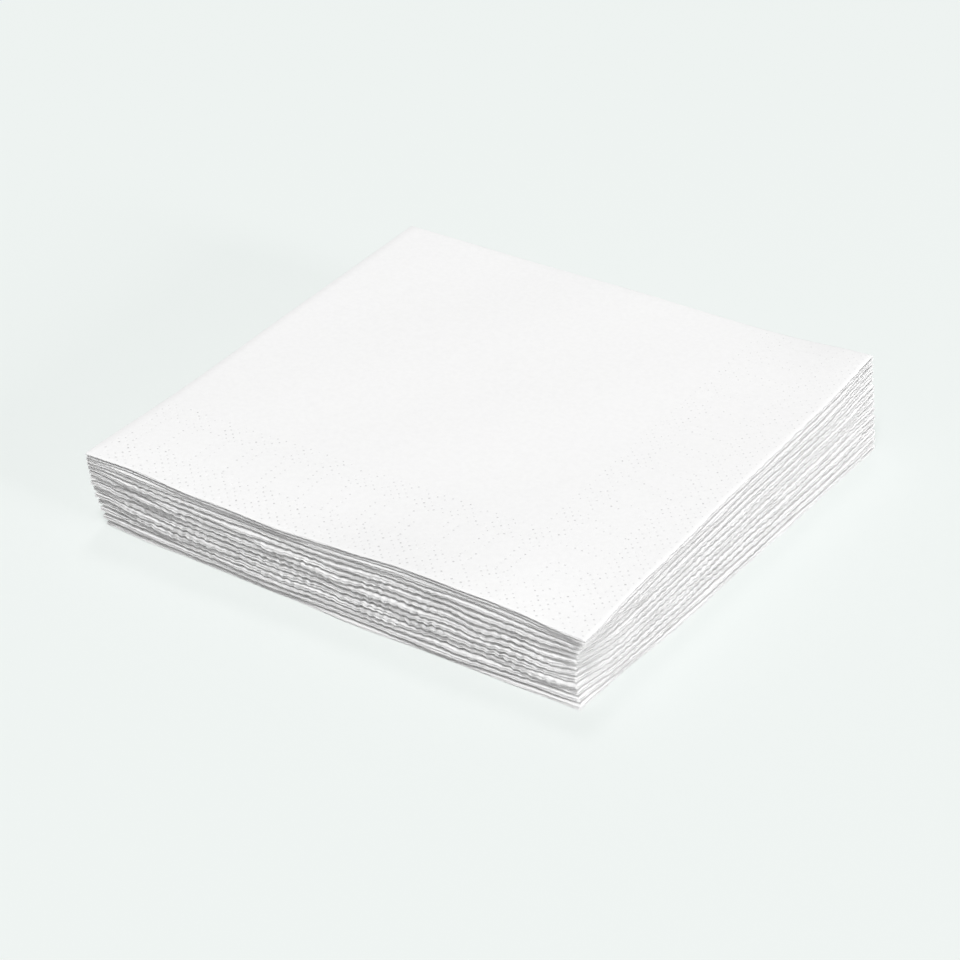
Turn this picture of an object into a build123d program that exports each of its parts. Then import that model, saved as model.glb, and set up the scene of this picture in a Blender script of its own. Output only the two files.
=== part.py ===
from build123d import *
from math import cos, degrees, pi, sin
import os

# A stack of square paper napkins, each folded in half and then in half again.
# Millimetres, +Z up. The origin is on the table, under the middle of the stack's outline.
# The first fold runs down the -X side and the second along the +Y side, so the cut edges
# are on the +X and -Y sides, and a sheet's four corners meet where those two sides do.

# One sheet, unfolded
sheet_side = 330.0
leaf_thickness = 0.38

# First fold, pressed to a flat crease with softened edges: the gap between its two leaves,
# the softening, and how far the inner leaf's cut edge stands back from the outer one's
first_gap = 0.06
crease_softness = 0.22
first_step = 0.9

# Second fold, left round: the gap between the two halves beside the fold and at their open
# edges, and how far the upper half's cut edges stand back from the lower half's
second_gap = 0.58
mouth_gap = 0.20
second_step = 0.7

# The stack: the air between neighbours, and the angle in degrees from the lowest napkin
# to the top one, turned about the corner where the cut edges meet
napkin_count = 13
napkin_gap = 0.08
stack_turn = 1.2

# How unevenly the napkins are laid along X and along Y, and how quickly that changes
# from one napkin to the next
uneven_x = 0.45
uneven_y = 0.35
shuffle_x = 2.4
shuffle_y = 1.7

# A pair is two leaves with the first fold's gap between them. Each fold takes some of the
# sheet to turn, and what is left runs straight, half on each side of the fold.
pair_thickness = 2 * leaf_thickness + first_gap
crease_rise = leaf_thickness + first_gap
second_radius = (pair_thickness + second_gap) / 2
outer_leaf = (sheet_side - crease_rise + first_step) / 2
inner_leaf = outer_leaf - first_step
lower_half = (sheet_side - pi * second_radius + second_step) / 2
upper_half = lower_half - second_step
folded_width = outer_leaf + leaf_thickness / 2
folded_depth = lower_half + second_radius + pair_thickness / 2

# A napkin is a shallow wedge, thickest along its second fold, so each one lies a little
# steeper than the one below it
closing = degrees((second_gap - mouth_gap) / lower_half)
mouth_pitch = 2 * pair_thickness + mouth_gap + napkin_gap


def seat(index):
    """The plane under a napkin, from the corner where its cut edges meet."""
    level = index / max(napkin_count - 1, 1)
    along_x = -uneven_x * sin(pi * level) * (1 + sin(shuffle_x * index))
    along_y = uneven_y * sin(pi * level) * (1 + cos(shuffle_y * index))
    tilted = Plane.XY.offset(index * mouth_pitch).rotated((index * closing, 0, 0))
    return tilted.rotated((0, 0, stack_turn * (level - 1))).move(Location((along_x, along_y, 0)))


# The four corners of each napkin, to find the middle of the whole outline
corners = [
    Vector(seat(index).from_local_coords((x, y, 0)))
    for index in range(napkin_count)
    for x in (-folded_width, 0)
    for y in (0, folded_depth)
]
middle_x = (min(corner.X for corner in corners) + max(corner.X for corner in corners)) / 2
middle_y = (min(corner.Y for corner in corners) + max(corner.Y for corner in corners)) / 2
to_middle = Location((-middle_x, -middle_y, 0))

os.makedirs("parts", exist_ok=True)

for index in range(napkin_count):
    lies_on = Plane(to_middle * seat(index).location)
    first_end = Plane(lies_on.origin, x_dir=lies_on.x_dir, z_dir=-lies_on.y_dir)
    second_end = Plane(lies_on.origin, x_dir=lies_on.y_dir, z_dir=lies_on.x_dir)

    with BuildPart() as napkin:
        # The first fold seen from its end: the outer leaf, the crease, the inner leaf
        with BuildSketch(first_end) as first_fold:
            with BuildLine():
                outer = Line((0, leaf_thickness / 2), (-outer_leaf, leaf_thickness / 2))
                crease = Line(outer @ 1, outer @ 1 + Vector(0, crease_rise))
                Line(crease @ 1, crease @ 1 + Vector(inner_leaf, 0))
            trace(line_width=leaf_thickness)
            chamfer(first_fold.vertices().group_by(Axis.X)[0], crease_softness)

        # The second fold carries that pair of leaves round and back over itself
        with BuildLine(second_end):
            lower = Line((0, pair_thickness / 2), (lower_half, pair_thickness / 2))
            bend = JernArc(lower @ 1, lower % 1, second_radius, 180 + closing)
            Line(bend @ 1, bend @ 1 + bend % 1 * upper_half)
        sweep()

    napkin.part.label = f"napkin_{index + 1:02d}"
    export_step(napkin.part, f"parts/{napkin.part.label}.step")
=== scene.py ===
from math import cos, pi, radians, sin, sqrt

import bpy
import numpy as np
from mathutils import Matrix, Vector
from mathutils.geometry import delaunay_2d_cdt


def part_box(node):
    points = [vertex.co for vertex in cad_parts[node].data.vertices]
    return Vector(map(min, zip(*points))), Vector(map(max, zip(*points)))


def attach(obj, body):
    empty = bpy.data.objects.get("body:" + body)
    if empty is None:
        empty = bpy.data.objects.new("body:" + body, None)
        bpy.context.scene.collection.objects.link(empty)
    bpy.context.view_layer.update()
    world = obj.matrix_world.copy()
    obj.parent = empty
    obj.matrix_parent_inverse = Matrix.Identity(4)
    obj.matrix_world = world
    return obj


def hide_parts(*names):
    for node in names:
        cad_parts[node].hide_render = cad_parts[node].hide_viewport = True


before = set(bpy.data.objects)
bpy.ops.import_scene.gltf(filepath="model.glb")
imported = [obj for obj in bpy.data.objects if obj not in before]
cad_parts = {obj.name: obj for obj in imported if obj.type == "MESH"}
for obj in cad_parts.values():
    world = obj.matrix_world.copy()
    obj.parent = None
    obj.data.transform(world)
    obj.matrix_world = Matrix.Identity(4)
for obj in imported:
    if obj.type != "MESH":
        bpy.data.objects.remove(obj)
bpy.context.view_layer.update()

# A stack of paper napkins. Each one is a single folded sheet, built here as a closed mesh:
# two skins a leaf's thickness apart, carried round both folds and closed by a soft rim.
# The napkins' lengths are in millimetres until their meshes are made. In the stack's own
# plan, x is 0 at the right cut edge and y is 0 at the front cut edge, so the folds are at
# low x and high y.

MM = 0.001
NAMES = sorted(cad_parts)
COUNT = len(NAMES)
TOP = COUNT - 1

# The sheet's side, and a leaf's thickness away from its cut edges
SHEET = 330.0
LEAF = 0.36

# A leaf's thickness beside its cut edge, pressed in front and fluffier on the right, and
# the distances in from the edge between which it changes to the full one
RIM_LEAF = 0.21
RIGHT_RIM_LEAF = 0.38
RIM_RANGE = (0.3, 5.5)

# The same at the very edge, how far in that edge is rounded, and how far it bulges out
NOSE_LEAF = 0.12
RIGHT_NOSE_LEAF = 0.27
NOSE_REACH = 0.8
RIM_BULGE = 0.06

# The first fold's crease, the second fold's rounder turn, and half the distance between
# the middles of the two leaves that go round it together
CREASE_RADIUS = 0.22
TURN_RADIUS = 0.85
HALF_PAIR = 0.21

# How far cut edges stand back: the inner leaves' on the right, and each napkin's upper half
# in front, lowest to top, where a negative one stands out
FIRST_STEP = 0.15
SECOND_STEPS = (0.05,) * 10 + (0.0, -0.1, -0.2)

# The angle between the lowest napkin and the top one, in degrees
STACK_TURN = 1.2

# The place of the stack's plan in the frame, and its size, from the top napkin's solid
top_low, top_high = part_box(NAMES[TOP])
CORNER = (top_high.x / MM, top_low.y / MM)
WIDTH = (top_high.x - top_low.x) / MM
DEPTH = (top_high.y - top_low.y) / MM

# Where the flat part of a leaf begins beside each fold, in the plan
CREASE_X = -WIDTH + CREASE_RADIUS + LEAF / 2
TURN_Y = DEPTH - TURN_RADIUS - HALF_PAIR - LEAF / 2

# The sheet's four leaves, lowest to top: -1 for an outer leaf and 1 for an inner one, then
# -1 for the lower half and 1 for the upper one
LEAVES = ((-1, -1), (1, -1), (1, 1), (-1, 1))
TOP_LEAF = LEAVES[-1]


def fade(start, end, value):
    """0 before start, 1 after end, and smooth between them."""
    share = np.clip((value - start) / (end - start), 0, 1)
    return share * share * (3 - 2 * share)


def hill(value, middle, reach):
    """1 at the middle, falling smoothly to nothing a few reaches away."""
    return np.exp(-((value - middle) / reach) ** 2)


def knoll(x, y, reach):
    """1 where x and y are both 0, falling smoothly all round."""
    return np.exp(-(x * x + y * y) / reach ** 2)


def waves(seed, shortest, longest, count=7):
    """A smooth random field over the plan, of about unit height, made of plane waves."""
    random = np.random.RandomState(seed)
    headings = random.uniform(0, 2 * pi, count)
    pitches = 2 * pi / random.uniform(shortest, longest, count)
    starts = random.uniform(0, 2 * pi, count)

    def field(x, y):
        total = np.zeros_like(x)
        for heading, pitch, start in zip(headings, pitches, starts):
            total += np.sin(pitch * (x * cos(heading) + y * sin(heading)) + start)
        return total * sqrt(2 / count)

    return field


def turned(x, y, degrees):
    """A place in the plan, turned about the corner where the cut edges meet."""
    angle = radians(degrees)
    return cos(angle) * x - sin(angle) * y, sin(angle) * x + cos(angle) * y


# The stack's height in front, and at the left and the right end of the back
FRONT_HEIGHT = 24.3
BACK_HEIGHT = 29.2
RIGHT_BACK_HEIGHT = 28.6

# How far the top rises in its middle, and the size of its waves
CROWN = 0.4
SWELL = 0.12
height_waves = waves(seed=11, shortest=45, longest=110)

# A dip and a rise along the front edge: the height of each, its place from the right and
# its reach, as shares of the width, and how far in from the edge they go
FRONT_BUMPS = ((-0.8, 0.62, 0.2), (0.5, 0.28, 0.16))
BUMP_DEPTH = 25.0

# The front right, front left and back right corners, how far each rises, and its reach
CORNER_RISES = (((0.0, 0.0), -1.8, 22.0), ((-WIDTH, 0.0), 1.0, 25.0), ((0.0, DEPTH), 1.9, 20.0))


def stack_height(x, y):
    """The height of the whole stack over the plan."""
    across = np.clip(-x / WIDTH, 0, 1)
    along = np.clip(y / DEPTH, 0, 1)
    back = RIGHT_BACK_HEIGHT + (BACK_HEIGHT - RIGHT_BACK_HEIGHT) * np.sin(pi * across / 2)
    height = FRONT_HEIGHT + (back - FRONT_HEIGHT) * along
    height += CROWN * np.sin(pi * across) * np.sin(pi * along)
    height += SWELL * height_waves(x, y)
    for rise, place, reach in FRONT_BUMPS:
        height += rise * hill(across, place, reach) * (1 - fade(0, BUMP_DEPTH, y))
    for (corner_x, corner_y), rise, reach in CORNER_RISES:
        height += rise * knoll(x - corner_x, y - corner_y, reach)
    return height


# How far to each side of the front right corner one cut edge's manner changes to the
# other's, and how fluffed up the right edge is at its front end
CORNER_BLEND = 4.0
FRONT_END_FLUFF = 0.45


def on_right(x, y):
    """1 along the right cut edge, 0 along the front one."""
    return fade(-CORNER_BLEND, CORNER_BLEND, x + y)


def fluff(x, y):
    """How fluffed up the cut edges are: not in front, and more towards the back on the right."""
    return on_right(x, y) * (FRONT_END_FLUFF + (1 - FRONT_END_FLUFF) * np.clip(y / DEPTH, 0, 1))


def leaf_thickness(inset, fluffed):
    """A leaf's thickness at a distance in from its cut edge, from pressed (0) to fluffed up (1)."""
    rim = RIM_LEAF + fluffed * (RIGHT_RIM_LEAF - RIM_LEAF)
    end = NOSE_LEAF + fluffed * (RIGHT_NOSE_LEAF - NOSE_LEAF)
    nose = (rim - end) * (1 - np.sqrt(np.clip(inset / NOSE_REACH, 0, 1)))
    return rim - nose + (LEAF - rim) * fade(*RIM_RANGE, inset)


# How much calmer the right cut edge is than the front one: in its slow waves, in each
# napkin's own ones, and in its fine ones
SLOW_CALM = 0.75
OWN_CALM = 0.5
QUICK_CALM = 0.25

# The share of a napkin's air that lies under it, inside each pair and between its halves:
# deep in the stack, and beside the second fold
DEEP_SHARES = (0.30, 0.15, 0.40)
TURN_SHARES = (0.10, 0.06, 0.78)
TURN_REACH = 12.0

# How much of that air lies under each napkin at its cut edges, lowest to top, the least and
# the most of it, and how far in from the edges this reaches
OPEN_IN_FRONT = (0.93, 0.95, 0.93, 0.70, 0.64, 0.78, 0.86, 0.93, 0.93, 0.91, 0.90, 0.66, 0.38)
OPEN_ON_RIGHT = (0.90, 0.90, 0.90, 0.88, 0.86, 0.86, 0.84, 0.84, 0.86, 0.88, 0.88, 0.86, 0.80)
OPEN_LIMITS = (0.2, 0.95)
CUT_REACH = 4.5

# How far waves change that share
PINCH = 0.05
pinch_waves = [waves(seed=300 + n, shortest=30, longest=110, count=5) for n in range(COUNT)]

# How much smaller it gets towards the back of the right edge and over which range of y, and
# which napkin that is most for and how far up and down from it that reaches
BACK_CLOSING = 0.3
BACK_RANGE = (60.0, 150.0)
BACK_NAPKIN = 7.0
BACK_SPREAD = 3.0

# How much smaller it is beside the first fold and how far from it. In the upper napkins that
# is halved, over this range of lowness, which is 1 for the lowest napkin and 0 for the top.
LEFT_CLOSING = 0.35
LEFT_CLOSING_REACH = 8.0
LEFT_CLOSING_RANGE = (0.3, 0.6)

# How far the rest of the air moves from inside the pairs to between the halves in the top
# napkin, and how many napkins down from it that reaches
TOP_PAIRING = 0.8
PAIRING_SPREAD = 1.5

# The air under a napkin comes and goes in slow waves from one napkin to the next: how often
# in the whole stack, their sizes, and how far each wave's start swings over the plan, in radians
WAVE_TURNS = (1, 2, 3)
WAVE_SIZES = (0.07, 0.05, 0.04)
WAVE_SWING = 3
slow_waves = [waves(seed=100 + k, shortest=40, longest=100, count=5) for k in WAVE_TURNS]

# At the front left corner the napkins lie closer, but the lowest few gape, and at the front
# right one the highest lie closer: how much, how far in, and over which range of lowness on
# the left, and of its opposite on the right
LEFT_CORNER_LESS = 0.3
LEFT_CORNER_MORE = 1.5
LEFT_CORNER_REACH = 22.0
LEFT_CORNER_RANGE = (0.6, 0.95)
RIGHT_CORNER_LESS = 0.15
RIGHT_CORNER_REACH = 12.0
RIGHT_CORNER_RANGE = (0.6, 0.9)


def below_top(n):
    """1 for the lower napkins, falling to 0 at the top one."""
    return 1 - (n / TOP) ** 4


def open_share(n, x, y):
    """How much of napkin n's air lies under it at its cut edges."""
    right = on_right(x, y)
    share = OPEN_IN_FRONT[n] + right * (OPEN_ON_RIGHT[n] - OPEN_IN_FRONT[n])
    share = share - BACK_CLOSING * right * fade(*BACK_RANGE, y) * hill(n, BACK_NAPKIN, BACK_SPREAD)
    lower = (1 + fade(*LEFT_CLOSING_RANGE, 1 - n / TOP)) / 2
    share = share - LEFT_CLOSING * hill(x, -WIDTH, LEFT_CLOSING_REACH) * lower * below_top(n)
    return np.clip(share + PINCH * (1 - OWN_CALM * right) * pinch_waves[n](x, y), *OPEN_LIMITS)


def gap_shares(n, x, y):
    """How the air is shared by napkin n: under it, inside each pair, and between its halves.

    The lowest napkin lies on the floor and has none under it."""
    level = n / TOP
    inset = np.clip(np.minimum(-x, y), 0, None)
    near_cut = hill(inset, 0, CUT_REACH)
    near_turn = hill(y, DEPTH, TURN_REACH)
    under = open_share(n, x, y)
    pairing = TOP_PAIRING * hill(n, TOP, PAIRING_SPREAD)
    cut_shares = (under, (1 - under) / 4 * (1 - pairing), (1 - under) / 2 * (1 + pairing))
    shares = []
    for cut, deep, turn in zip(cut_shares, DEEP_SHARES, TURN_SHARES):
        flat = near_cut * cut + (1 - near_cut) * deep
        shares.append(flat * (1 - near_turn) + near_turn * turn)
    if n == 0:
        shares[0] = 0 * shares[0]
        return shares
    wave = sum(size * np.sin(WAVE_SWING * slow(x, y) + 2 * pi * turns * n / COUNT)
               for turns, size, slow in zip(WAVE_TURNS, WAVE_SIZES, slow_waves))
    gape = LEFT_CORNER_MORE * fade(*LEFT_CORNER_RANGE, 1 - level) - LEFT_CORNER_LESS
    close = RIGHT_CORNER_LESS * fade(*RIGHT_CORNER_RANGE, level)
    shares[0] = shares[0] * (1 + wave * (1 - SLOW_CALM * on_right(x, y)))
    shares[0] = shares[0] * (1 + gape * knoll(x + WIDTH, y, LEFT_CORNER_REACH))
    shares[0] = shares[0] * (1 - close * knoll(x, y, RIGHT_CORNER_REACH))
    return shares


# How far the cut edges ride up and down together, how far that leans over from the lowest
# napkin to the top one, and how far in from the edges it reaches
DRIFT_SIZE = 0.14
DRIFT_LEAN = 8.0
DRIFT_REACH = 4.0
drift_waves = waves(seed=12, shortest=9, longest=26, count=8)

# How far they rise at the front right corner and beside the first fold, and the reach of each
CORNER_LIFT = 0.7
CORNER_LIFT_REACH = 4.5
FOLD_LIFT = 0.8
FOLD_LIFT_REACH = 10.0

# Fine crinkles along the edges: their size, how far they lean over from the lowest napkin to
# the top one, and how far in both these and the beads reach
CRINKLE_SIZE = 0.10
CRINKLE_LEAN = 2.0
QUICK_REACH = 1.5
crinkle_waves = waves(seed=13, shortest=2.0, longest=5, count=9)

# Beads along the edges: their size and pitch, how far each napkin's are shifted against the
# ones below and how far they wander, in radians, and how uneven their size is
BEAD_SIZE = 0.155
BEAD_PITCH = 2.85
BEAD_SHIFT = 1.9
BEAD_WANDER = 0.6
BEAD_UNEVENNESS = 0.2
bead_waves = waves(seed=14, shortest=12, longest=40, count=6)

# Where crinkles and beads fade out: near the table, as a share of the stack's height, and
# beside the second and the first fold
QUICK_LEVEL = 0.25
QUICK_TURN_REACH = 9.0
QUICK_CREASE_REACH = 7.0

# How far a napkin's own waves raise or lower it, as a share of the air beside it, and how
# high those waves may go
OWN_SHIFT = 0.07
OWN_LIMIT = 1.5
own_waves = [waves(seed=200 + n, shortest=6, longest=22) for n in range(COUNT)]


def own_inset_at(n, x, y):
    """How far in from napkin n's own cut edges a place in the plan is."""
    own_x, own_y = turned(x, y, STACK_TURN * (1 - n / TOP))
    return np.clip(np.minimum(-own_x, own_y), 0, None)


def drift(n, x, y):
    """How far napkin n's cut edges ride up or down together with their neighbours'."""
    level = n / TOP
    inset = own_inset_at(n, x, y)
    right = on_right(x, y)
    wander = DRIFT_SIZE * drift_waves(x + DRIFT_LEAN * level, y - DRIFT_LEAN * level)
    corner = CORNER_LIFT * knoll(x, y, CORNER_LIFT_REACH)
    fan = FOLD_LIFT * hill(x, -WIDTH, FOLD_LIFT_REACH)
    slow = sin(pi * level) ** 2 * (wander * (1 - SLOW_CALM * right) + corner + fan)

    crinkle = CRINKLE_SIZE * crinkle_waves(x + CRINKLE_LEAN * level, y - CRINKLE_LEAN * level)
    phase = 2 * pi * (y - x) / BEAD_PITCH + BEAD_SHIFT * n + BEAD_WANDER * bead_waves(x, y)
    bead = BEAD_SIZE * np.sin(phase) * (1 + BEAD_UNEVENNESS * bead_waves(y, x))
    off_folds = (1 - hill(y, DEPTH, QUICK_TURN_REACH)) * (1 - hill(x, -WIDTH, QUICK_CREASE_REACH))
    free = min(1, level / QUICK_LEVEL) * below_top(n) * off_folds
    quick = free * (crinkle + bead) * (1 - QUICK_CALM * right)
    return slow * hill(inset, 0, DRIFT_REACH) + quick * hill(inset, 0, QUICK_REACH)


def own_shift(n, x, y):
    """How napkin n is raised or lowered by its own waves, as a share of the air beside it."""
    calm = 1 - OWN_CALM * on_right(x, y)
    return OWN_SHIFT * calm * np.clip(own_waves[n](x, y), -OWN_LIMIT, OWN_LIMIT)


def leaf_heights(n, x, y):
    """The heights of the middles of napkin n's four leaves, and the thickness they have room for."""
    slot = leaf_thickness(np.maximum(np.minimum(-x, y), NOSE_REACH), fluff(x, y))
    shares = [gap_shares(m, x, y) for m in range(COUNT)]
    whole = sum(under + 2 * inside + middle for under, inside, middle in shares)
    paper = len(LEAVES) * slot
    unit = (stack_height(x, y) - COUNT * paper) / whole
    bottom = n * paper + unit * sum((u + 2 * i + m for u, i, m in shares[:n]), np.zeros_like(x))
    under, inside, middle = (unit * share for share in shares[n])
    above = unit * shares[n + 1][0] if n < TOP else under
    bottom = bottom + under + own_shift(n, x, y) * np.minimum(under, above) + drift(n, x, y)
    first = bottom + slot / 2
    second = first + slot + inside
    third = second + slot + middle
    return (first, second, third, third + slot + inside), slot


# The mesh of one leaf, in distances p and q from its first and second fold: how much of the
# leaf each fold takes, and the rows of points round it
LEAF_SIDE = SHEET / 2
CREASE_QUARTER = CREASE_RADIUS * pi / 2
TURN_QUARTER = TURN_RADIUS * pi / 2
CREASE_STEPS = 3
TURN_STEPS = 6

# The squares over the rest: how many along a side, how often they may be halved, and how
# near the wanted size one is left as it is; and the corners of a square
CELLS = 16
HALVINGS = 3
NEAR_ENOUGH = 0.99
SQUARE = np.array([(0, 0), (1, 0), (0, 1), (1, 1)])

# The rows of points along the cut edges, how many points each has, and the band in from
# the edges that belongs to them
RIM_ROWS = (0.0, 0.2, 0.5)
RIM_POINTS = 256
RIM_BAND = 0.9

# How far apart points are beside the cut edges, within a band, and beside the folds, how
# much that grows for each millimetre further in, and how far apart they are at most on top
CUT_SPACING = 1.3
CUT_SPACING_BAND = 1.4
CUT_SPACING_GROWTH = 0.8
FOLD_SPACING = 2.6
FOLD_SPACING_GROWTH = 0.6
SHOWN_SPACING = 2.6

# Points nearer than this are one, and places are told apart in these steps per millimetre
# when leaves are joined and when pits are looked up
SAME_POINT = 1e-6
JOIN_STEPS = 1e4
LOOKUP_STEPS = 1e3


def graded_points(spacing):
    """Corners of squares over a leaf, halved until they are as small as the spacing wanted there."""
    finest = CELLS * 2 ** HALVINGS
    found = []
    width = 2 ** HALVINGS
    corners = np.array([(i, j) for i in range(CELLS) for j in range(CELLS)]) * width
    start = np.array([CREASE_QUARTER, TURN_QUARTER])
    scale = (LEAF_SIDE - start) / finest
    while len(corners):
        found += [corners + step * width for step in SQUARE]
        middles = start + (corners + width / 2) * scale
        coarse = spacing(middles[:, 0], middles[:, 1]) < NEAR_ENOUGH * width * scale[0]
        width //= 2
        if width == 0:
            break
        corners = np.concatenate([corners[coarse] + step * width for step in SQUARE])
    lattice = np.unique(np.concatenate(found), axis=0)
    body = start + lattice * scale
    body = [body[LEAF_SIDE - body.max(axis=1) > RIM_BAND]]
    for inset in RIM_ROWS:
        end = LEAF_SIDE - inset
        p = np.linspace(CREASE_QUARTER, end, RIM_POINTS)
        q = np.linspace(TURN_QUARTER, end, RIM_POINTS)[:-1]
        body += [np.column_stack([p, np.full(len(p), end)]), np.column_stack([np.full(len(q), end), q])]
    return np.concatenate(body)


def plain_spacing(p, q):
    """How far apart a plain leaf's points are, in from the rows along its cut edges."""
    inset = np.minimum(LEAF_SIDE - p, LEAF_SIDE - q)
    from_cut = CUT_SPACING + CUT_SPACING_GROWTH * np.clip(inset - CUT_SPACING_BAND, 0, None)
    from_fold = FOLD_SPACING + FOLD_SPACING_GROWTH * np.minimum(p, q)
    return np.minimum(from_cut, from_fold)


def shown_spacing(p, q):
    """How far apart the points are on the leaf that lies on top."""
    return np.minimum(plain_spacing(p, q), SHOWN_SPACING)


def leaf_points(spacing):
    """A leaf's points with the rows that carry it round its two folds."""
    body = graded_points(spacing)
    crease_rows = np.linspace(0, CREASE_QUARTER, CREASE_STEPS + 1)[:-1]
    turn_rows = np.linspace(0, TURN_QUARTER, TURN_STEPS + 1)[:-1]
    at_crease = body[np.isclose(body[:, 0], CREASE_QUARTER)][:, 1]
    at_turn = body[np.isclose(body[:, 1], TURN_QUARTER)][:, 0]
    rows = [body]
    rows += [np.column_stack([np.full(len(at_crease), p), at_crease]) for p in crease_rows]
    rows += [np.column_stack([at_turn, np.full(len(at_turn), q)]) for q in turn_rows]
    rows += [np.array([(p, q) for p in crease_rows for q in turn_rows])]
    return np.concatenate(rows)


def triangulated(points):
    """A leaf's points, with the triangles that join them."""
    result = delaunay_2d_cdt([Vector(p) for p in points], [], [], 0, SAME_POINT)
    vertices = np.array([tuple(v) for v in result[0]])
    return vertices, np.array([tuple(f) for f in result[2]])


# The border pressed into the leaf on top: pits on a lattice in an outer and an inner band,
# each with bare rounds that repeat along it. A band is given by how far in it starts and
# ends, and a round by how far in its middle is, half its length, half its width and its shift.
LATTICE = 1.425
REPEAT = 8 * LATTICE
OUTER_BAND = (1.4, 13)
OUTER_ROUND = (8.0, 2.2, 2.2, 0)
INNER_BAND = (28, 37)
INNER_ROUND = (32.5, 2.2, 2.6, REPEAT / 2)

# The double rows of pits between the bands: how far to each side of their middle the two
# rows are, how far in the first pit is, how far apart the pits are, and how many
DOUBLE_SIDE = 1.6
DOUBLE_START = 13.9
DOUBLE_PITCH = 2.25
DOUBLE_PITS = 7

# How far the pits stay away from the first and the second fold
CREASE_ROOM = 1.6
TURN_ROOM = 2.5

# A pit's size and depth in front, what share of both is left at the second fold, and the
# ranges of chance for its depth and its size
DOT_SIZE = 0.34
DOT_DEPTH = 0.12
FAR_DOTS = 0.6
DEPTH_CHANCE = (0.15, 1.3)
SIZE_CHANCE = (0.7, 1.1)

# The rings of points round a pit's middle: radius as a share of its size, how many points,
# and their share of its depth
DOT_RINGS = ((0.5, 5, 0.85), (1.0, 7, 0.0), (1.4, 5, 0.0))

# What share of the pits is there, how far each is shifted at most, how far away other points
# stay, how much of the sheet's thickness a pit may take, and the seed of all this chance
DOTS_KEPT = 0.9
DOT_JITTER = 0.16
DOT_CLEARANCE = 0.55
DEEPEST = 0.8
DOT_SEED = 7


def in_round(along, inset, centre, half_along, half_across, shift):
    """Whether a place is in one of the bare rounds that repeat along the border."""
    offset = (along + shift + REPEAT / 2) % REPEAT - REPEAT / 2
    return (offset / half_along) ** 2 + ((inset - centre) / half_across) ** 2 < 1


def in_band(along, inset, band, bare):
    """Whether a place is in a band of the border, outside its bare rounds."""
    return band[0] < inset < band[1] and not in_round(along, inset, *bare)


def border_dots():
    """The middles of the pits, in the stack's plan."""
    steps = int(max(WIDTH, DEPTH) / LATTICE) + 1
    dots = []
    for i in range(1, steps):
        for j in range(1, steps):
            if (i + j) % 2:
                continue
            x = i * LATTICE
            y = j * LATTICE
            inset = min(x, y)
            along = max(x, y)
            in_outer = in_band(along, inset, OUTER_BAND, OUTER_ROUND)
            if in_outer or in_band(along, inset, INNER_BAND, INNER_ROUND):
                dots.append((-x, y))
    columns = int(max(WIDTH, DEPTH) / REPEAT) + 1
    for column in range(columns):
        for side in (-DOUBLE_SIDE, DOUBLE_SIDE):
            along = column * REPEAT + side
            for row in range(DOUBLE_PITS):
                inset = DOUBLE_START + DOUBLE_PITCH * row
                if along > inset:
                    dots.append((-along, inset))
                    dots.append((-inset, along))
    return np.array([d for d in dots if d[0] > CREASE_ROOM - WIDTH and d[1] < DEPTH - TURN_ROOM])


def on_leaf(dots):
    """Places in the stack's plan, in distances from a leaf's two folds."""
    p = CREASE_QUARTER + (dots[:, 0] - CREASE_X) / -CREASE_X * (LEAF_SIDE - CREASE_QUARTER)
    q = TURN_QUARTER + (TURN_Y - dots[:, 1]) / TURN_Y * (LEAF_SIDE - TURN_QUARTER)
    return np.column_stack([p, q])


def with_dots(points, dots):
    """A leaf's points with rings round each dot, and how deep each point is pressed in."""
    random = np.random.RandomState(DOT_SEED)
    dots = dots[random.uniform(0, 1, len(dots)) < DOTS_KEPT]
    dots = dots + random.uniform(-DOT_JITTER, DOT_JITTER, dots.shape)
    apart = np.ones(len(points), bool)
    for p, q in dots:
        apart &= (np.abs(points[:, 0] - p) > DOT_CLEARANCE) | (np.abs(points[:, 1] - q) > DOT_CLEARANCE)
    in_rim = points.max(axis=1) >= LEAF_SIDE - RIM_BAND
    keep = points[apart | in_rim]
    rings = [keep]
    depths = [np.zeros(len(keep))]
    for p, q in dots:
        faint = FAR_DOTS + (1 - FAR_DOTS) * q / LEAF_SIDE
        deep = DOT_DEPTH * faint * random.uniform(*DEPTH_CHANCE)
        size = DOT_SIZE * faint * random.uniform(*SIZE_CHANCE)
        start = random.uniform(0, pi)
        rings.append(np.array([(p, q)]))
        depths.append(np.array([deep]))
        for radius, count, share in DOT_RINGS:
            angles = start + 2 * pi * np.arange(count) / count
            ring = radius * size
            rings.append(np.column_stack([p + ring * np.cos(angles), q + ring * np.sin(angles)]))
            depths.append(np.full(count, deep * share))
    return np.concatenate(rings), np.concatenate(depths)


def lookup_keys(points):
    """Each point's place, rounded so that it can be looked up."""
    return [tuple(key) for key in np.round(points * LOOKUP_STEPS).astype(np.int64)]


def plain_leaf():
    """A plain leaf's points, triangles and pressed depths."""
    vertices, triangles = triangulated(leaf_points(plain_spacing))
    return vertices, triangles, np.zeros(len(vertices))


def embossed_leaf():
    """The same for the leaf on top, with the border pressed in."""
    points, depths = with_dots(leaf_points(shown_spacing), on_leaf(border_dots()))
    vertices, triangles = triangulated(points)
    table = dict(zip(lookup_keys(points), depths))
    return vertices, triangles, np.array([table.get(key, 0.0) for key in lookup_keys(vertices)])


# How unevenly the napkins are laid, in front and on the right
FRONT_SHUFFLE = 0.22
RIGHT_SHUFFLE = 0.12
plan_waves = [waves(seed=400 + n, shortest=20, longest=70, count=5) for n in range(COUNT)]

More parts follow.
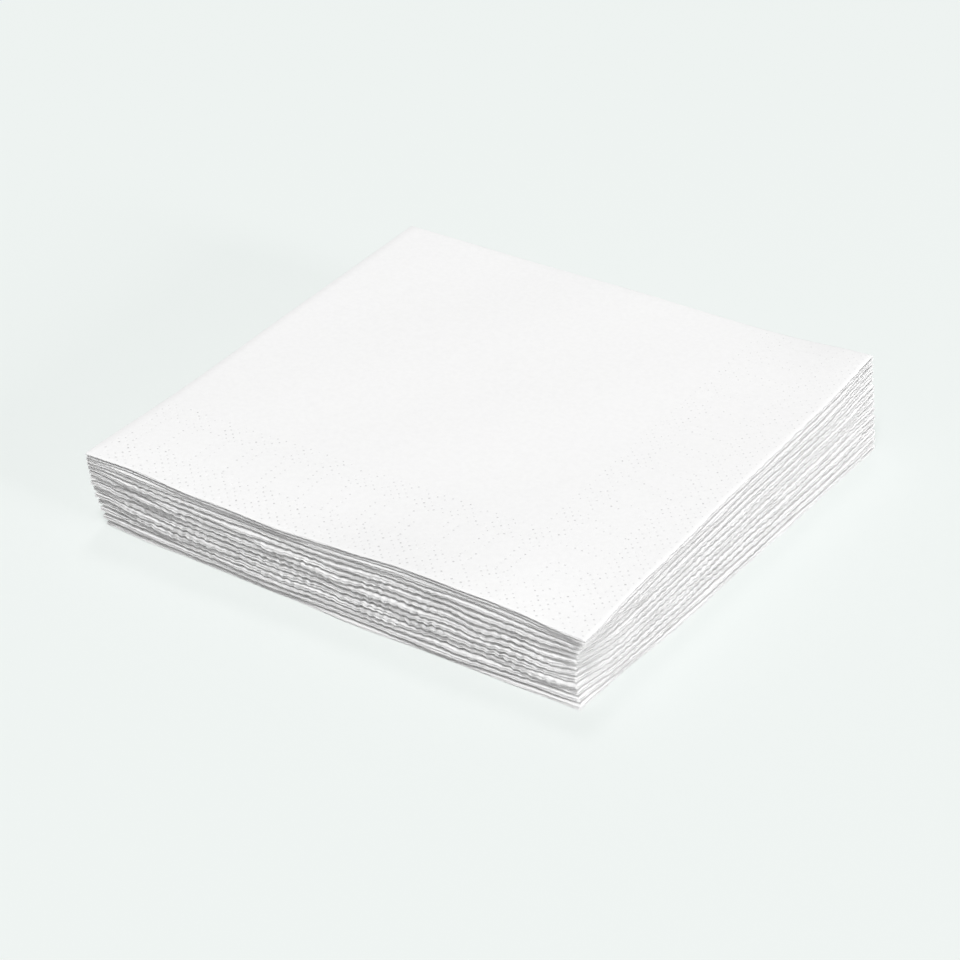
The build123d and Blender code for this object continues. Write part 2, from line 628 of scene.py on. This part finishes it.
# How unevenly each leaf is cut, in slow waves and in fine grain, and how far from a fold
# that has its full size
FRONT_ROUGHNESS = 0.09
RIGHT_ROUGHNESS = 0.06
FRONT_GRAIN = 0.04
RIGHT_GRAIN = 0.075
ROUGH_FROM_FOLD = 6.0
LEAF_COUNT = len(LEAVES) * COUNT
edge_waves = [waves(seed=500 + k, shortest=8, longest=40, count=6) for k in range(LEAF_COUNT)]
grain_waves = [waves(seed=600 + k, shortest=1.8, longest=4.0, count=8) for k in range(LEAF_COUNT)]

# How far the lowest napkin lies in on the left, on the right and at the back, how far it
# stands out on the right away from the front, and from where on
LEFT_TUCK = 2.6
RIGHT_TUCK = 1.0
BACK_TUCK = 2.0
RIGHT_FLARE = 1.5
FLARE_START = 35.0

# How far the middle napkins bulge out on the left, the lowest one in the middle of the
# front, and how far the middle ones stand back at the front right corner
LEFT_BULGE = 0.8
FRONT_BULGE = 1.2
RETREAT_X = 3.0
RETREAT_Y = 1.2
RETREAT_REACH = 11.0

# A recess in front under the top napkin: how deep, how far below the top one and over how
# many napkins, from where to where along the front as shares of the width, and its reach
RECESS = 0.3
RECESS_BELOW = 1.4
RECESS_SPREAD = 1.0
RECESS_START = (0.22, 0.42)
RECESS_END = (0.93, 1.0)
RECESS_REACH = 20.0


def laid(n, x, y):
    """Where a point of napkin n lies in the stack's plan."""
    level = n / TOP
    lowness = 1 - level
    across = -x / WIDTH
    retreat = sin(pi * level) * knoll(x, y, RETREAT_REACH)
    moved_x = x + LEFT_TUCK * lowness ** 3 * across - RIGHT_TUCK * lowness ** 2 * (1 - across)
    moved_x = moved_x + RIGHT_FLARE * lowness ** 2 * (1 - across) * (1 - hill(y, 0, FLARE_START))
    moved_x = moved_x - LEFT_BULGE * sin(pi * level) * across - RETREAT_X * retreat
    moved_y = y + RETREAT_Y * retreat - FRONT_BULGE * lowness * np.sin(pi * across)
    moved_y = moved_y - BACK_TUCK * lowness ** 2 * y / DEPTH
    recess = RECESS * hill(n, TOP - RECESS_BELOW, RECESS_SPREAD) * hill(y, 0, RECESS_REACH)
    moved_y = moved_y + recess * fade(*RECESS_START, across) * (1 - fade(*RECESS_END, across))
    return turned(moved_x, moved_y, STACK_TURN * (level - 1))


def roughness(n, a, b, across, along):
    """How far in the leaves of napkin n are cut, on the right and in front, by their own waves."""
    right = np.zeros_like(a)
    front = np.zeros_like(b)
    for leaf, (side_a, side_b) in enumerate(LEAVES):
        here = ((a < 0) == (side_a < 0)) & ((b < 0) == (side_b < 0))
        edge = edge_waves[len(LEAVES) * n + leaf]
        grain = grain_waves[len(LEAVES) * n + leaf]
        rough_x = RIGHT_ROUGHNESS * (1 + edge(-LEAF_SIDE * along, 0 * along))
        rough_y = FRONT_ROUGHNESS * (1 + edge(0 * across, LEAF_SIDE * across))
        right += here * (rough_x + RIGHT_GRAIN * grain(LEAF_SIDE * along, 0 * along))
        front += here * (rough_y + FRONT_GRAIN * grain(0 * across, LEAF_SIDE * across))
    off_crease = fade(0, ROUGH_FROM_FOLD, np.abs(a))
    off_turn = fade(0, ROUGH_FROM_FOLD, np.abs(b))
    return off_crease * right, off_turn * front


# How far the cut edges droop, how far in that reaches, and how much less they droop on the
# top napkin and on the right
DROOP = 0.22
DROOP_REACH = 1.4
LESS_DROOP = 0.6

# How far each leaf moves to its napkin's middle where leaves are thinner than their room,
# lowest to top, as a share of what is left over
CLOSING_UP = (1.5, 0.5, -0.5, -1.5)


def droop(n, inset, right):
    """How far napkin n's cut edges droop. The lowest napkin's lie on the table."""
    size = DROOP * min(n, 1) * (1 - LESS_DROOP * (n == TOP)) * (1 - LESS_DROOP * right)
    return size * (1 - np.sqrt(np.clip(inset / DROOP_REACH, 0, 1)))


def folded(n, a, b):
    """Where each point of napkin n's sheet lies once folded, and how thick the sheet is there.

    a and b are distances across the first and the second fold: a is negative on the outer
    leaves, and b is negative on the lower half."""
    crease_angle = np.clip(a / CREASE_QUARTER, -1, 1) * pi / 2
    turn_angle = (np.clip(b / TURN_QUARTER, -1, 1) + 1) * pi / 2
    across = np.clip(np.abs(a) - CREASE_QUARTER, 0, None) / (LEAF_SIDE - CREASE_QUARTER)
    along = np.clip(np.abs(b) - TURN_QUARTER, 0, None) / (LEAF_SIDE - TURN_QUARTER)

    rough_x, rough_y = roughness(n, a, b, across, along)
    shuffle = 1 + plan_waves[n](-LEAF_SIDE * across, LEAF_SIDE * (1 - along))
    x_end = -FIRST_STEP * (1 + np.sin(crease_angle)) / 2 - rough_x - RIGHT_SHUFFLE * shuffle
    y_end = SECOND_STEPS[n] * (1 - np.cos(turn_angle)) / 2 + rough_y + FRONT_SHUFFLE * shuffle
    x = CREASE_X + across * (x_end - CREASE_X) - CREASE_RADIUS * np.cos(crease_angle)
    y = TURN_Y - along * (TURN_Y - y_end)
    inset = np.clip(np.minimum(-x - RIGHT_SHUFFLE * shuffle, y - FRONT_SHUFFLE * shuffle), 0, None)

    plan_x, plan_y = laid(n, x, y)
    leaves, slot = leaf_heights(n, plan_x, plan_y)
    thickness = np.minimum(slot, leaf_thickness(inset, fluff(plan_x, plan_y)))
    fall = droop(n, inset, on_right(plan_x, plan_y))
    first, second, third, fourth = (
        leaf + share * (slot - thickness) - fall for leaf, share in zip(leaves, CLOSING_UP))
    lower = (first + second) / 2 + (second - first) / 2 * np.sin(crease_angle)
    upper = (third + fourth) / 2 - (fourth - third) / 2 * np.sin(crease_angle)
    z = (lower + upper) / 2 - (upper - lower) / 2 * np.cos(turn_angle)

    turn_radius = TURN_RADIUS - HALF_PAIR * np.sin(crease_angle)
    plan_x, plan_y = laid(n, x, y + turn_radius * np.sin(turn_angle))
    return np.column_stack([plan_x, plan_y, z]), thickness


def sheet_pattern(plain, shown=None):
    """The whole flat sheet's points, triangles and pressed depths, from one leaf's mirrored.

    shown is the pattern for the leaf that lies on top, where that differs."""
    places, triangles, depths = [], [], []
    offset = 0
    for sides in LEAVES:
        on_top = shown is not None and sides == TOP_LEAF
        points, faces, depth = shown if on_top else plain
        places.append(points * np.array(sides))
        triangles.append((faces if sides[0] == sides[1] else faces[:, ::-1]) + offset)
        depths.append(depth)
        offset += len(points)
    places = np.concatenate(places)
    triangles = np.concatenate(triangles)
    depths = np.concatenate(depths)
    keys = np.round(places * JOIN_STEPS).astype(np.int64)
    _, first, inverse = np.unique(keys, axis=0, return_index=True, return_inverse=True)
    return places[first], inverse.ravel()[triangles], depths[first]


def vertex_normals(points, triangles):
    """Smooth normals from the triangles round each point."""
    a, b, c = (points[triangles[:, k]] for k in range(3))
    face = np.cross(b - a, c - a)
    normals = np.zeros_like(points)
    for k in range(3):
        np.add.at(normals, triangles[:, k], face)
    return normals / np.linalg.norm(normals, axis=1)[:, None]


def rim_edges(triangles):
    """The sheet's boundary, as directed edges in order."""
    edges = np.concatenate([triangles[:, [0, 1]], triangles[:, [1, 2]], triangles[:, [2, 0]]])
    both = {tuple(e) for e in edges}
    return np.array(sorted(e for e in both if (e[1], e[0]) not in both))


def skins(places, middle, thickness, normals, depths):
    """The two skins of a sheet on both sides of its middle, with the pits in the upper one."""
    in_fold = (np.abs(places[:, 0]) < CREASE_QUARTER) | (np.abs(places[:, 1]) < TURN_QUARTER)
    half = thickness / 2 * np.where(in_fold, 1, np.abs(normals[:, 2]))
    pressed = np.where(normals[:, 2:3] > 0, 1.0, 0.0)
    sunk = np.minimum(depths, DEEPEST * thickness)[:, None]
    front = middle + normals * half[:, None] - normals * sunk * pressed
    back = middle - normals * half[:, None] + normals * sunk * (1 - pressed)
    return front, back


def napkin_mesh(n, pattern):
    """The points and faces of napkin n as a closed sheet of paper."""
    places, triangles, depths = pattern
    middle, thickness = folded(n, places[:, 0], places[:, 1])
    front, back = skins(places, middle, thickness, vertex_normals(middle, triangles), depths)

    edges = rim_edges(triangles)
    rim = np.unique(edges)
    at_right = np.isclose(np.abs(places[rim, 0]), LEAF_SIDE)
    at_front = np.isclose(np.abs(places[rim, 1]), LEAF_SIDE)
    outward = np.column_stack([at_right * 1.0, at_front * -1.0, 0 * at_right])
    outward = outward / np.linalg.norm(outward, axis=1)[:, None]
    bulge = middle[rim] + outward * RIM_BULGE
    size = len(places)
    bulge_index = np.full(size, -1)
    bulge_index[rim] = 2 * size + np.arange(len(rim))

    faces = [tuple(t) for t in triangles]
    faces += [tuple(t[::-1] + size) for t in triangles]
    for start, end in edges:
        faces.append((end, start, bulge_index[start], bulge_index[end]))
        faces.append((bulge_index[end], bulge_index[start], start + size, end + size))
    return np.concatenate([front, back, bulge]), faces


def signed_volume(points, faces):
    """The volume inside closed faces, negative where they face inward."""
    t = np.array([(f[0], f[k], f[k + 1]) for f in faces for k in range(1, len(f) - 1)])
    corners = np.cross(points[t[:, 1]], points[t[:, 2]])
    return np.einsum("ij,ij->i", points[t[:, 0]], corners).sum() / 6


def pit_shade_faces(faces, depths):
    """1 for each face of the upper skin that touches a pit, where shade is painted in; 0 for the rest."""
    size = len(depths)
    return np.array([int(max(f) < size and any(depths[v] > 0 for v in f)) for f in faces])


def napkin_object(n, pattern, papers):
    """Napkin n as an object in the frame, in metres."""
    points, faces = napkin_mesh(n, pattern)
    if signed_volume(points, faces) < 0:
        faces = [f[::-1] for f in faces]
    place = points + np.array([CORNER[0], CORNER[1], 0.0])
    mesh = bpy.data.meshes.new(f"folded_{n + 1:02d}")
    mesh.from_pydata((place * MM).tolist(), [], [[int(v) for v in f] for f in faces])
    mesh.polygons.foreach_set("use_smooth", np.ones(len(mesh.polygons), bool))
    for paper in papers:
        mesh.materials.append(paper)
    # Faces in the pits take the darker paper, which paints the pits' shade
    if pattern[2].any():
        mesh.polygons.foreach_set("material_index", pit_shade_faces(faces, pattern[2]))
    mesh.update()
    piece = bpy.data.objects.new(f"folded_napkin_{n + 1:02d}", mesh)
    bpy.context.scene.collection.objects.link(piece)
    return piece


def node(tree, kind, place, **values):
    """A new shader node with its properties and unlinked inputs set."""
    made = tree.nodes.new(kind)
    made.location = place
    for name, value in values.items():
        if name in made.inputs:
            made.inputs[name].default_value = value
        else:
            setattr(made, name, value)
    return made


# Each paper's name, its darkest and lightest tints, and how large its mottles are, in metres
PLAIN_PAPER = ("white_tissue", (0.884, 0.883, 0.882), (0.908, 0.907, 0.906), 0.0015)
# The second paper's dark tints are mostly painted shade in the pits, on top of the pressed plies' own
# slightly greyer look
PIT_SHADE_PAPER = ("pressed_tissue_and_pit_shade", (0.565, 0.565, 0.565), (0.864, 0.864, 0.864), 0.0022)

# Where in the mottles' noise the darkest and the lightest tints are reached
TINT_RANGE = (0.3, 0.62)

# The crepe's lines and the loose fibres, in waves per metre, and the height in metres and the
# strength of their relief
CREPE_SCALES = (900.0, 2600.0, 2600.0)
FIBRE_SCALE = 700.0
RELIEF_HEIGHT = 0.00012
RELIEF_STRENGTH = 0.35

# How matt the paper is, and how weak its gloss
PAPER_ROUGHNESS = 0.92
PAPER_GLOSS = 0.15


def paper_material(name, darkest, lightest, mottle_size):
    """White tissue: matt, mottled, with a fine crepe and loose fibres."""
    paper = bpy.data.materials.new(name)
    paper.use_nodes = True
    tree = paper.node_tree
    tree.nodes.clear()
    link = tree.links.new
    place = node(tree, "ShaderNodeTexCoord", (-1200, 0))
    squeeze = node(tree, "ShaderNodeMapping", (-1000, -200), Scale=CREPE_SCALES)
    crepe = node(tree, "ShaderNodeTexNoise", (-800, -200), Scale=1.0, Detail=3.0, Roughness=0.6)
    fibre = node(tree, "ShaderNodeTexNoise", (-800, -450), Scale=FIBRE_SCALE, Detail=4.0, Roughness=0.65)
    mottle = node(tree, "ShaderNodeTexNoise", (-800, 200), Scale=1 / mottle_size, Detail=3.0, Roughness=0.6)
    tint = node(tree, "ShaderNodeValToRGB", (-550, 200))
    for element, position, colour in zip(tint.color_ramp.elements, TINT_RANGE, (darkest, lightest)):
        element.position = position
        element.color = (*colour, 1)
    relief = node(tree, "ShaderNodeMath", (-550, -300), operation="ADD")
    bump = node(tree, "ShaderNodeBump", (-350, -300), Strength=RELIEF_STRENGTH, Distance=RELIEF_HEIGHT)
    shader = node(tree, "ShaderNodeBsdfPrincipled", (-100, 0))
    shader.inputs["Roughness"].default_value = PAPER_ROUGHNESS
    shader.inputs["Specular IOR Level"].default_value = PAPER_GLOSS
    output = node(tree, "ShaderNodeOutputMaterial", (200, 0))
    link(place.outputs["Object"], squeeze.inputs["Vector"])
    link(squeeze.outputs["Vector"], crepe.inputs["Vector"])
    link(place.outputs["Object"], fibre.inputs["Vector"])
    link(place.outputs["Object"], mottle.inputs["Vector"])
    link(mottle.outputs["Fac"], tint.inputs["Fac"])
    link(crepe.outputs["Fac"], relief.inputs[0])
    link(fibre.outputs["Fac"], relief.inputs[1])
    link(relief.outputs["Value"], bump.inputs["Height"])
    link(tint.outputs["Color"], shader.inputs["Base Color"])
    link(bump.outputs["Normal"], shader.inputs["Normal"])
    link(shader.outputs["BSDF"], output.inputs["Surface"])
    return paper


def make_napkins():
    """Every napkin, the lowest first, each in place of its solid."""
    plain_paper = paper_material(*PLAIN_PAPER)
    # The darker paper paints shade into the pits
    pit_shade_paper = paper_material(*PIT_SHADE_PAPER)
    plain = plain_leaf()
    plain_pattern = sheet_pattern(plain)
    shown_pattern = sheet_pattern(plain, embossed_leaf())
    for n in range(COUNT):
        if n == TOP:
            piece = napkin_object(n, shown_pattern, [plain_paper, pit_shade_paper])
        else:
            piece = napkin_object(n, plain_pattern, [plain_paper])
        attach(piece, "root")
        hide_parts(NAMES[n])


# The backdrop's colour as seen, the floor's own grey, how much of its shading shows, and its
# side in metres
BACKDROP_COLOUR = (0.855, 0.896, 0.879)
FLOOR_GREY = 0.845
SHADOW_SHARE = 0.33
FLOOR_SIDE = 8.0

# The three soft lamps: which way each lies from the stack, high over the front, low on the
# right and behind, and its power in watts; then how far away all are, and their side, in metres
LAMPS = (
    ("key", (0.2, -0.57, 1.4), 410.0),
    ("side", (1.7, -0.15, 0.45), 316.0),
    ("back", (-0.4, 0.6, 1.4), 132.0),
)
LAMP_DISTANCE = 8.0
LAMP_SIDE = 1.8

# The light that comes evenly from all round
AMBIENT_LEVEL = 0.13

# The photo's view: the camera's direction in degrees, its distance from what it looks at,
# where that is from the middle of a napkin's plan, and its lens, all in millimetres
CAMERA_AZIMUTH = 32.97
CAMERA_ELEVATION = 31.15
CAMERA_DISTANCE = 820.0
CAMERA_TARGET = (6.97, -15.6, 12.0)
LENS = 106.9
SENSOR_WIDTH = 36.0


def seen_directly(tree, share):
    """The share, for rays from the camera and those that a gloss or glass sends on; 0 for the rest."""
    rays = node(tree, "ShaderNodeLightPath", (-1100, 200))
    seen = rays.outputs["Is Camera Ray"]
    for k, kind in enumerate(("Is Glossy Ray", "Is Transmission Ray")):
        either = node(tree, "ShaderNodeMath", (200 * k - 900, 200), operation="MAXIMUM")
        tree.links.new(seen, either.inputs[0])
        tree.links.new(rays.outputs[kind], either.inputs[1])
        seen = either.outputs["Value"]
    scaled = node(tree, "ShaderNodeMath", (-500, 200), operation="MULTIPLY")
    scaled.inputs[1].default_value = share
    tree.links.new(seen, scaled.inputs[0])
    return scaled.outputs["Value"]


def floor_material():
    """A grey floor with a faint shadow, tinted so that it looks like the backdrop."""
    glow = [(seen - SHADOW_SHARE * FLOOR_GREY) / (1 - SHADOW_SHARE) for seen in BACKDROP_COLOUR]
    pale = bpy.data.materials.new("pale_floor")
    pale.use_nodes = True
    tree = pale.node_tree
    tree.nodes.clear()
    link = tree.links.new
    matt = node(tree, "ShaderNodeBsdfDiffuse", (-500, 0), Color=(FLOOR_GREY, FLOOR_GREY, FLOOR_GREY, 1))
    flat = node(tree, "ShaderNodeEmission", (-500, -200), Color=(*glow, 1), Strength=1.0)
    mix = node(tree, "ShaderNodeMixShader", (-150, 0))
    output = node(tree, "ShaderNodeOutputMaterial", (100, 0))
    link(seen_directly(tree, 1 - SHADOW_SHARE), mix.inputs["Fac"])
    link(matt.outputs["BSDF"], mix.inputs[1])
    link(flat.outputs["Emission"], mix.inputs[2])
    link(mix.outputs["Shader"], output.inputs["Surface"])
    return pale


def make_floor():
    """A wide pale floor under the stack."""
    half = FLOOR_SIDE / 2
    corners = [(-half, -half, 0), (half, -half, 0), (half, half, 0), (-half, half, 0)]
    mesh = bpy.data.meshes.new("floor")
    mesh.from_pydata(corners, [], [(0, 1, 2, 3)])
    mesh.materials.append(floor_material())
    floor = bpy.data.objects.new("floor", mesh)
    bpy.context.scene.collection.objects.link(floor)


def aimed(item, place, target):
    """Puts an object at a place and turns its -Z axis to a target."""
    item.location = place
    item.rotation_euler = (Vector(target) - Vector(place)).to_track_quat("-Z", "Y").to_euler()


def make_light(name, toward, watts):
    """A square soft lamp that shines on the stack."""
    lamp = bpy.data.lights.new(name, "AREA")
    lamp.shape = "SQUARE"
    lamp.size = LAMP_SIDE
    lamp.energy = watts
    item = bpy.data.objects.new(name, lamp)
    bpy.context.scene.collection.objects.link(item)
    aimed(item, Vector(toward).normalized() * LAMP_DISTANCE, (0, 0, 0))


def make_world():
    """Soft light from all round, behind the same pale colour as the floor."""
    world = bpy.data.worlds.new("studio")
    world.use_nodes = True
    tree = world.node_tree
    tree.nodes.clear()
    link = tree.links.new
    light = node(tree, "ShaderNodeBackground", (-300, -100), Color=(1, 1, 1, 1), Strength=AMBIENT_LEVEL)
    pale = node(tree, "ShaderNodeBackground", (-300, -300), Color=(*BACKDROP_COLOUR, 1), Strength=1.0)
    mix = node(tree, "ShaderNodeMixShader", (-100, 0))
    output = node(tree, "ShaderNodeOutputWorld", (100, 0))
    link(seen_directly(tree, 1.0), mix.inputs["Fac"])
    link(light.outputs["Background"], mix.inputs[1])
    link(pale.outputs["Background"], mix.inputs[2])
    link(mix.outputs["Shader"], output.inputs["Surface"])
    bpy.context.scene.world = world


def make_camera():
    """The photo's view of the stack."""
    camera = bpy.data.cameras.new("camera")
    camera.lens = LENS
    camera.sensor_width = SENSOR_WIDTH
    item = bpy.data.objects.new("camera", camera)
    bpy.context.scene.collection.objects.link(item)
    middle = Vector((CORNER[0] - LEAF_SIDE / 2, CORNER[1] + LEAF_SIDE / 2, 0))
    target = middle + Vector(CAMERA_TARGET)
    azimuth = radians(CAMERA_AZIMUTH)
    elevation = radians(CAMERA_ELEVATION)
    back = Vector((sin(azimuth) * cos(elevation), -cos(azimuth) * cos(elevation), sin(elevation)))
    aimed(item, (target + back * CAMERA_DISTANCE) * MM, target * MM)
    bpy.context.scene.camera = item


make_floor()
make_napkins()
make_world()
for lamp in LAMPS:
    make_light(*lamp)
make_camera()
bpy.context.scene.view_settings.view_transform = "Standard"
